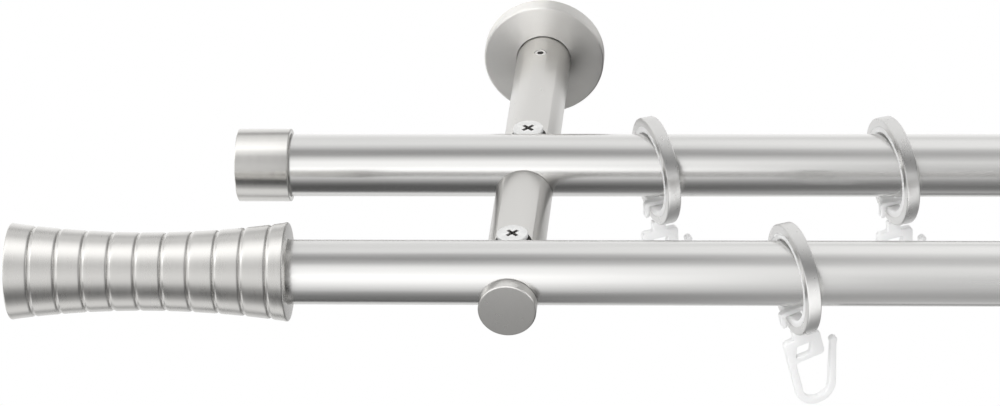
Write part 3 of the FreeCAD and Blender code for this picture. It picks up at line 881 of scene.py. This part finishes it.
def plain_white(tree, kind):
    white = tree.nodes.new(kind)
    white.inputs["Color"].default_value = (1, 1, 1, 1)
    white.inputs["Strength"].default_value = 1.0
    return white.outputs[0]


def world_light():
    """A world that lights softly, a little more from above, and is seen as plain white."""
    world = bpy.data.worlds.new("white studio")
    bpy.context.scene.world = world
    world.use_nodes = True
    tree = world.node_tree
    tree.nodes.clear()
    out = tree.nodes.new("ShaderNodeOutputWorld")
    light = tree.nodes.new("ShaderNodeBackground")
    split = tree.nodes.new("ShaderNodeSeparateXYZ")
    tree.links.new(tree.nodes.new("ShaderNodeTexCoord").outputs["Generated"], split.inputs[0])
    tree.links.new(mapped(tree, split.outputs["Z"], -1.0, 1.0, 0.85, 1.03), light.inputs["Strength"])
    white = plain_white(tree, "ShaderNodeBackground")
    seen = any_ray(tree, "Is Camera Ray", "Is Glossy Ray", "Is Transmission Ray")
    mixed(tree, seen, light.outputs[0], white, out.inputs[0])


def floor():
    size, down = 6.0, -0.9
    corners = [(-size, -size, down), (size, -size, down), (size, size, down), (-size, size, down)]
    mesh = bpy.data.meshes.new("floor")
    mesh.from_pydata(corners, [], [(0, 1, 2, 3)])
    slab = in_scene("floor", mesh)
    material, tree, surface = new_material("pale floor")
    surface["Base Color"].default_value = (0.85, 0.85, 0.85, 1)
    surface["Roughness"].default_value = 0.9
    pale = tree.nodes["Principled BSDF"].outputs[0]
    white = plain_white(tree, "ShaderNodeEmission")
    seen = any_ray(tree, "Is Camera Ray", "Is Transmission Ray")
    mixed(tree, seen, pale, white, tree.nodes["Material Output"].inputs[0])
    mesh.materials.append(material)


TENT_LEFT, TENT_RIGHT = -3.0, 3.3
TENT_AXIS_Y, TENT_AXIS_Z = -0.116, 0.005
TENT_SIDES = 96
FULL_LEVEL = 3.0            # level that a tent's ramp stores as 1
FULL_SHARE = 4.0


def turn_round_set_group():
    """How far round the tents' axis a place is, from 0 to 1, with the room's horizon at 0.5."""
    group, given, out = new_group("turn round the set", (("Position", VECTOR, None),), (("Turn", FLOAT),))
    split = group.nodes.new("ShaderNodeSeparateXYZ")
    group.links.new(given["Position"], split.inputs[0])
    away = maths(group, "SUBTRACT", TENT_AXIS_Y, split.outputs["Y"])
    rise = maths(group, "SUBTRACT", split.outputs["Z"], TENT_AXIS_Z)
    group.links.new(mapped(group, maths(group, "ARCTAN2", rise, away), -math.pi, math.pi), out["Turn"])
    return group


TURN_ROUND_SET = turn_round_set_group()


def eased_ramp(tree, place, stops):
    """A grey ramp with soft steps through (position, level) stops."""
    ramp = tree.nodes.new("ShaderNodeValToRGB")
    ramp.color_ramp.interpolation = "EASE"
    elements = ramp.color_ramp.elements
    while len(elements) < len(stops):
        elements.new(0.5)
    for element, (position, level) in zip(elements, stops):
        element.position = position
        element.color = (level, level, level, 1)
    tree.links.new(place, ramp.inputs[0])
    return ramp.outputs[0]


def tent_tube(name, radius):
    bm = bmesh.new()
    for k in range(TENT_SIDES):
        a, b = WHOLE_TURN * k / TENT_SIDES, WHOLE_TURN * (k + 1) / TENT_SIDES
        corners = [
            (x, TENT_AXIS_Y - radius * math.cos(angle), TENT_AXIS_Z + radius * math.sin(angle))
            for angle, x in ((a, TENT_LEFT), (b, TENT_LEFT), (b, TENT_RIGHT), (a, TENT_RIGHT))
        ]
        bm.faces.new([bm.verts.new(corner) for corner in corners])
    return in_scene(name, finished_mesh(name, bm, 180))


def tent_light(name, stations, shares, outermost):
    """A tent's glow, which lets the light of the tents round it through, unless it is the outermost."""
    material = bpy.data.materials.new(name + " light")
    material.use_nodes = True
    tree = material.node_tree
    tree.nodes.clear()
    place = object_place(tree)
    split = tree.nodes.new("ShaderNodeSeparateXYZ")
    tree.links.new(place, split.inputs[0])
    along = split.outputs["X"]
    turn = placed_group(tree, TURN_ROUND_SET, {})
    tree.links.new(place, turn.inputs["Position"])

    def level_ramp(levels):
        stops = [(k / (len(levels) - 1), level / FULL_LEVEL) for k, level in enumerate(levels)]
        return eased_ramp(tree, turn.outputs["Turn"], stops)

    last_x, levels = stations[0]
    light = level_ramp(levels)
    for x, levels in stations[1:]:
        mix = tree.nodes.new("ShaderNodeMix")
        mix.data_type = "RGBA"
        tree.links.new(mapped(tree, along, last_x, x), mix.inputs["Factor"])
        tree.links.new(light, mix.inputs["A"])
        tree.links.new(level_ramp(levels), mix.inputs["B"])
        light = mix.outputs["Result"]
        last_x = x
    glow = tree.nodes.new("ShaderNodeEmission")
    tree.links.new(light, glow.inputs["Color"])
    glow.inputs["Strength"].default_value = FULL_LEVEL
    if shares:
        length = TENT_RIGHT - TENT_LEFT
        stops = [((x - TENT_LEFT) / length, share / FULL_SHARE) for x, share in shares]
        share = eased_ramp(tree, mapped(tree, along, TENT_LEFT, TENT_RIGHT), stops)
        tree.links.new(maths(tree, "MULTIPLY", share, FULL_SHARE * FULL_LEVEL), glow.inputs["Strength"])
    out = tree.nodes.new("ShaderNodeOutputMaterial").inputs[0]
    if outermost:
        tree.links.new(glow.outputs[0], out)
    else:
        both = tree.nodes.new("ShaderNodeAddShader")
        tree.links.new(glow.outputs[0], both.inputs[0])
        tree.links.new(tree.nodes.new("ShaderNodeBsdfTransparent").outputs[0], both.inputs[1])
        tree.links.new(both.outputs[0], out)
    return material


def light_tent(name, radius, pieces, stations, shares=None, outermost=False):
    """A long open tube round the set, seen only in the gloss of the pieces given.

    The tents lie one round the other, so each but the outermost lets those outside it through.
    stations gives (metres along X, levels) pairs, and between two of them the light changes
    from the one's levels to the other's. shares gives (metres along X, share) pairs by which
    the whole tent's light changes sideways.
    """
    tent = tent_tube(name, radius)
    tent.data.materials.append(tent_light(name, stations, shares, outermost))
    tent.visible_camera = False
    tent.visible_diffuse = False
    tent.visible_transmission = False
    tent.visible_shadow = False
    tent.visible_volume_scatter = False
    lit = bpy.data.collections.new(name + " pieces")
    for piece in pieces:
        lit.objects.link(piece)
    tent.light_linking.receiver_collection = lit


# Levels of light round the tents, one every 15 degrees. The first row starts at the horizon behind
# the wall and passes under the set, and the second starts at the room's horizon and passes over it

REAR_POLE_ENDS = (
    1.20, 1.20, 1.15, 1.00, 0.80, 1.19, 0.14, 0.13, 0.11, 0.23, 0.55, 1.12,
    1.80, 1.90, 1.34, 1.45, 0.93, 0.41, 0.40, 0.83, 1.10, 1.06, 1.00, 1.10, 1.20,
)
REAR_POLE_MIDDLE = (
    1.20, 1.20, 1.15, 1.10, 0.95, 0.20, 0.60, 0.30, 0.21, 0.28, 0.41, 0.80,
    1.18, 0.66, 0.82, 0.96, 0.71, 0.54, 0.70, 1.16, 1.19, 1.13, 0.91, 1.15, 1.20,
)
FRONT_POLE_ENDS = (
    1.20, 1.20, 1.15, 1.00, 0.80, 1.07, 0.05, 0.22, 0.23, 0.38, 0.87, 1.19,
    1.53, 1.68, 1.40, 1.25, 0.64, 0.37, 0.53, 1.10, 1.02, 0.96, 1.00, 1.10, 1.20,
)
FRONT_POLE_MIDDLE = (
    1.20, 1.20, 1.15, 1.10, 0.95, 0.23, 0.83, 0.61, 0.53, 0.50, 0.62, 0.72,
    0.77, 0.80, 1.01, 1.04, 0.76, 0.71, 0.89, 1.21, 1.21, 1.19, 0.89, 1.15, 1.20,
)
FINIALS = (
    1.10, 1.15, 1.15, 1.05, 0.85, 0.85, 0.28, 1.01, 0.95, 0.37, 0.13, 0.32,
    0.89, 1.01, 0.86, 0.70, 0.95, 1.51, 1.63, 1.22, 0.69, 0.86, 0.53, 1.00, 1.10,
)
CAPS = (
    1.10, 1.15, 1.15, 1.05, 0.85, 0.93, 0.55, 0.93, 0.96, 0.44, 0.12, 0.13,
    0.48, 0.78, 0.78, 0.71, 0.69, 1.09, 1.65, 1.46, 1.14, 0.93, 0.47, 1.00, 1.10,
)
BRACKETS = (
    1.05, 1.00, 0.82, 0.52, 0.60, 0.45, 0.32, 0.30, 0.32, 0.36, 0.40, 0.50,
    1.00, 1.55, 1.70, 1.60, 1.20, 0.90, 0.85, 0.95, 1.05, 1.10, 0.90, 1.10, 1.05,
)
ROSETTES_LEFT = (
    0.98, 0.98, 0.98, 1.00, 1.11, 1.27, 1.49, 1.56, 1.43, 1.24, 1.12, 1.42,
    1.42, 2.32, 2.60, 2.60, 2.60, 2.60, 2.60, 1.50, 1.15, 1.00, 1.00, 0.98, 0.98,
)
ROSETTES_MIDDLE = (
    0.96, 0.92, 0.73, 0.60, 0.43, 0.23, 0.05, 0.05, 0.05, 0.05, 0.05, 0.89,
    1.83, 2.60, 2.60, 2.60, 2.60, 2.60, 2.54, 1.45, 1.10, 1.00, 0.98, 0.96, 0.96,
)
ROSETTES_RIGHT = (
    0.83, 0.79, 0.70, 0.54, 0.33, 0.06, 0.05, 0.05, 0.05, 0.05, 0.19, 1.36,
    1.06, 1.83, 1.63, 1.18, 0.71, 0.46, 0.46, 0.60, 0.74, 0.84, 0.90, 0.93, 0.95,
)
RING_BANDS = (
    1.00, 1.00, 1.00, 1.00, 0.75, 0.45, 0.32, 0.36, 0.70, 1.25, 1.45, 1.45,
    1.35, 1.05, 0.55, 0.32, 0.30, 0.48, 0.75, 0.90, 1.00, 1.02, 1.02, 1.00, 1.00,
)

# Shares of that light along X, in metres

END_SHARES = (
    (-3.0, 1.0), (-0.9, 1.3), (-0.6, 1.5), (-0.42, 1.1), (-0.32, 1.05), (-0.10, 1.0),
    (0.05, 0.40), (0.27, 0.40), (0.42, 0.8), (0.64, 0.9), (3.3, 0.9),
)
BRACKET_SHARES = (
    (-3.0, 1.05), (0.05, 1.0), (0.12, 0.95), (0.165, 0.78), (0.205, 0.42),
    (0.24, 0.12), (0.29, 0.2), (0.36, 1.0), (3.3, 1.0),
)
RING_SHARES = ((-3.0, 1.0), (0.45, 1.0), (0.75, 0.3), (3.3, 0.15))


def pieces_named(*ends):
    return [piece for piece in bpy.data.objects if piece.name.endswith(ends)]


def packed_nodes(*names):
    return [frame["nodes"][side + "_" + name] for name in names for side in SIDES]


def pole_stations(ends, middle):
    return (-0.08, ends), (0.11, middle), (0.21, middle), (0.40, ends)


def rosette_stations():
    return (-0.16, ROSETTES_LEFT), (-0.045, ROSETTES_MIDDLE), (0.06, ROSETTES_RIGHT)


def light_tents():
    rear_pole, front_pole = pieces_named("rear_pole_tube"), pieces_named("front_pole_tube")
    light_tent("rear_pole_tent", 0.349, rear_pole, pole_stations(REAR_POLE_ENDS, REAR_POLE_MIDDLE))
    light_tent("front_pole_tent", 0.350, front_pole, pole_stations(FRONT_POLE_ENDS, FRONT_POLE_MIDDLE))
    light_tent("finial_tent", 0.352, pieces_named("_finial_turning"), ((0, FINIALS),), END_SHARES)
    light_tent("cap_tent", 0.353, pieces_named("_end_cap_turning"), ((0, CAPS),), END_SHARES)
    brackets = pieces_named("_arm_bar", "_clamp_screw_head", "_lock_screw_body")
    hidden = packed_nodes("finial_grub_screw", "end_cap_sleeve")
    light_tent("bracket_tent", 0.354, brackets + hidden, ((0, BRACKETS),), BRACKET_SHARES)
    rosettes = pieces_named("_rosette_turning") + packed_nodes("wall_plate")
    light_tent("rosette_tent", 0.355, rosettes, rosette_stations())
    rings = pieces_named("_ring_band", "_liner_lip", "_hook_moulding")
    light_tent("ring_tent", 0.356, rings, ((0, RING_BANDS),), RING_SHARES, outermost=True)


def soft_lamp(name, place, aim, size, power):
    data = bpy.data.lights.new(name, "AREA")
    data.shape = "RECTANGLE"
    data.size, data.size_y = size
    data.energy = power
    lamp = in_scene(name, data)
    lamp.location = place
    lamp.rotation_mode = "QUATERNION"
    lamp.rotation_quaternion = (Vector(place) - Vector(aim)).to_track_quat("Z", "Y")
    lamp.visible_glossy = False
    lamp.visible_camera = False


world_light()
light_tents()
floor()
soft_lamp("key", (-0.6, -1.0, 1.3), (0.1, -0.1, 0), size=(0.8, 0.8), power=7.0)
soft_lamp("fill", (0.2, -1.1, -0.5), (0.16, -0.1, 0), size=(1.2, 0.8), power=1.0)


# Camera, as fitted to the photograph

def camera():
    data = bpy.data.cameras.new("camera")
    data.lens = 162.0
    data.sensor_width = 36.0
    data.clip_start = 0.05
    data.clip_end = 60
    cam = in_scene("camera", data)
    right = Vector((0.99569, 0.08023, -0.04661))
    up = Vector((-0.00129, 0.51424, 0.85765))
    look = Vector((-0.09278, 0.85388, -0.51212))
    place = Vector((0.1252, -1.3175, 0.7312))
    cam.matrix_world = Matrix((
        (right.x, up.x, -look.x, place.x),
        (right.y, up.y, -look.y, place.y),
        (right.z, up.z, -look.z, place.z),
        (0, 0, 0, 1),
    ))
    bpy.context.scene.camera = cam


camera()
bpy.context.scene.view_settings.view_transform = "Standard"
